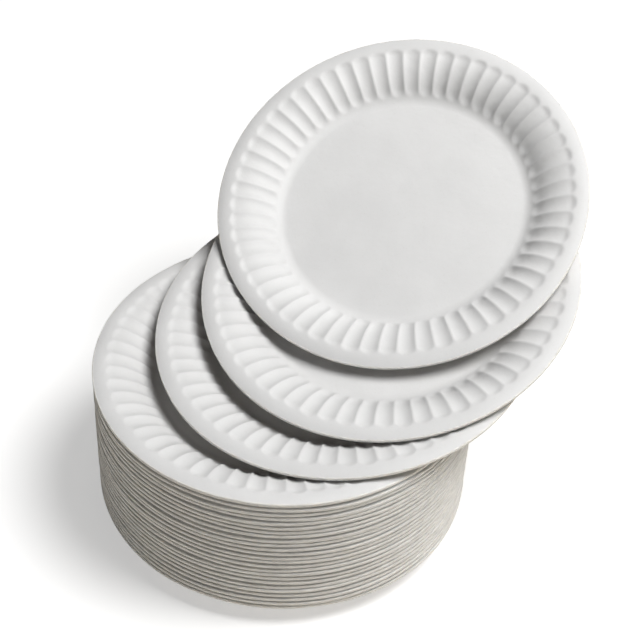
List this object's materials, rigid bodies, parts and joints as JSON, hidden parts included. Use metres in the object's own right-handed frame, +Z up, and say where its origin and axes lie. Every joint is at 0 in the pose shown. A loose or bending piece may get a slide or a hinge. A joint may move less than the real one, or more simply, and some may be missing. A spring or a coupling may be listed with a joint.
{
  "type": "stack of paper plates",
  "caption": "Neat stack of round white paper plates with fluted walls, with a few more plates fanned out and tilting on top.",
  "frame": {"origin": "centre of the flat underside that the lowest plate rests on", "axes": "+Z up along the axis of the nested stack; +X and +Y are level, and the fanned plates lean out over the side between them"},
  "size_m": [0.2931, 0.3062, 0.219],
  "materials": {
    "paper": "matt, slightly fibrous"
  },
  "bodies": {
    "root": {"fanned_plate_1": "paper", "fanned_plate_2": "paper", "fanned_plate_3": "paper", "stack_plate_01": "paper", "stack_plate_02": "paper", "stack_plate_03": "paper", "stack_plate_04": "paper", "stack_plate_05": "paper", "stack_plate_06": "paper", "stack_plate_07": "paper", "stack_plate_08": "paper", "stack_plate_09": "paper", "stack_plate_10": "paper", "stack_plate_11": "paper", "stack_plate_12": "paper", "stack_plate_13": "paper", "stack_plate_14": "paper", "stack_plate_15": "paper", "stack_plate_16": "paper", "stack_plate_17": "paper", "stack_plate_18": "paper", "stack_plate_19": "paper", "stack_plate_20": "paper", "stack_plate_21": "paper", "stack_plate_22": "paper", "stack_plate_23": "paper", "stack_plate_24": "paper", "stack_plate_25": "paper"}
  },
  "joints": []
}
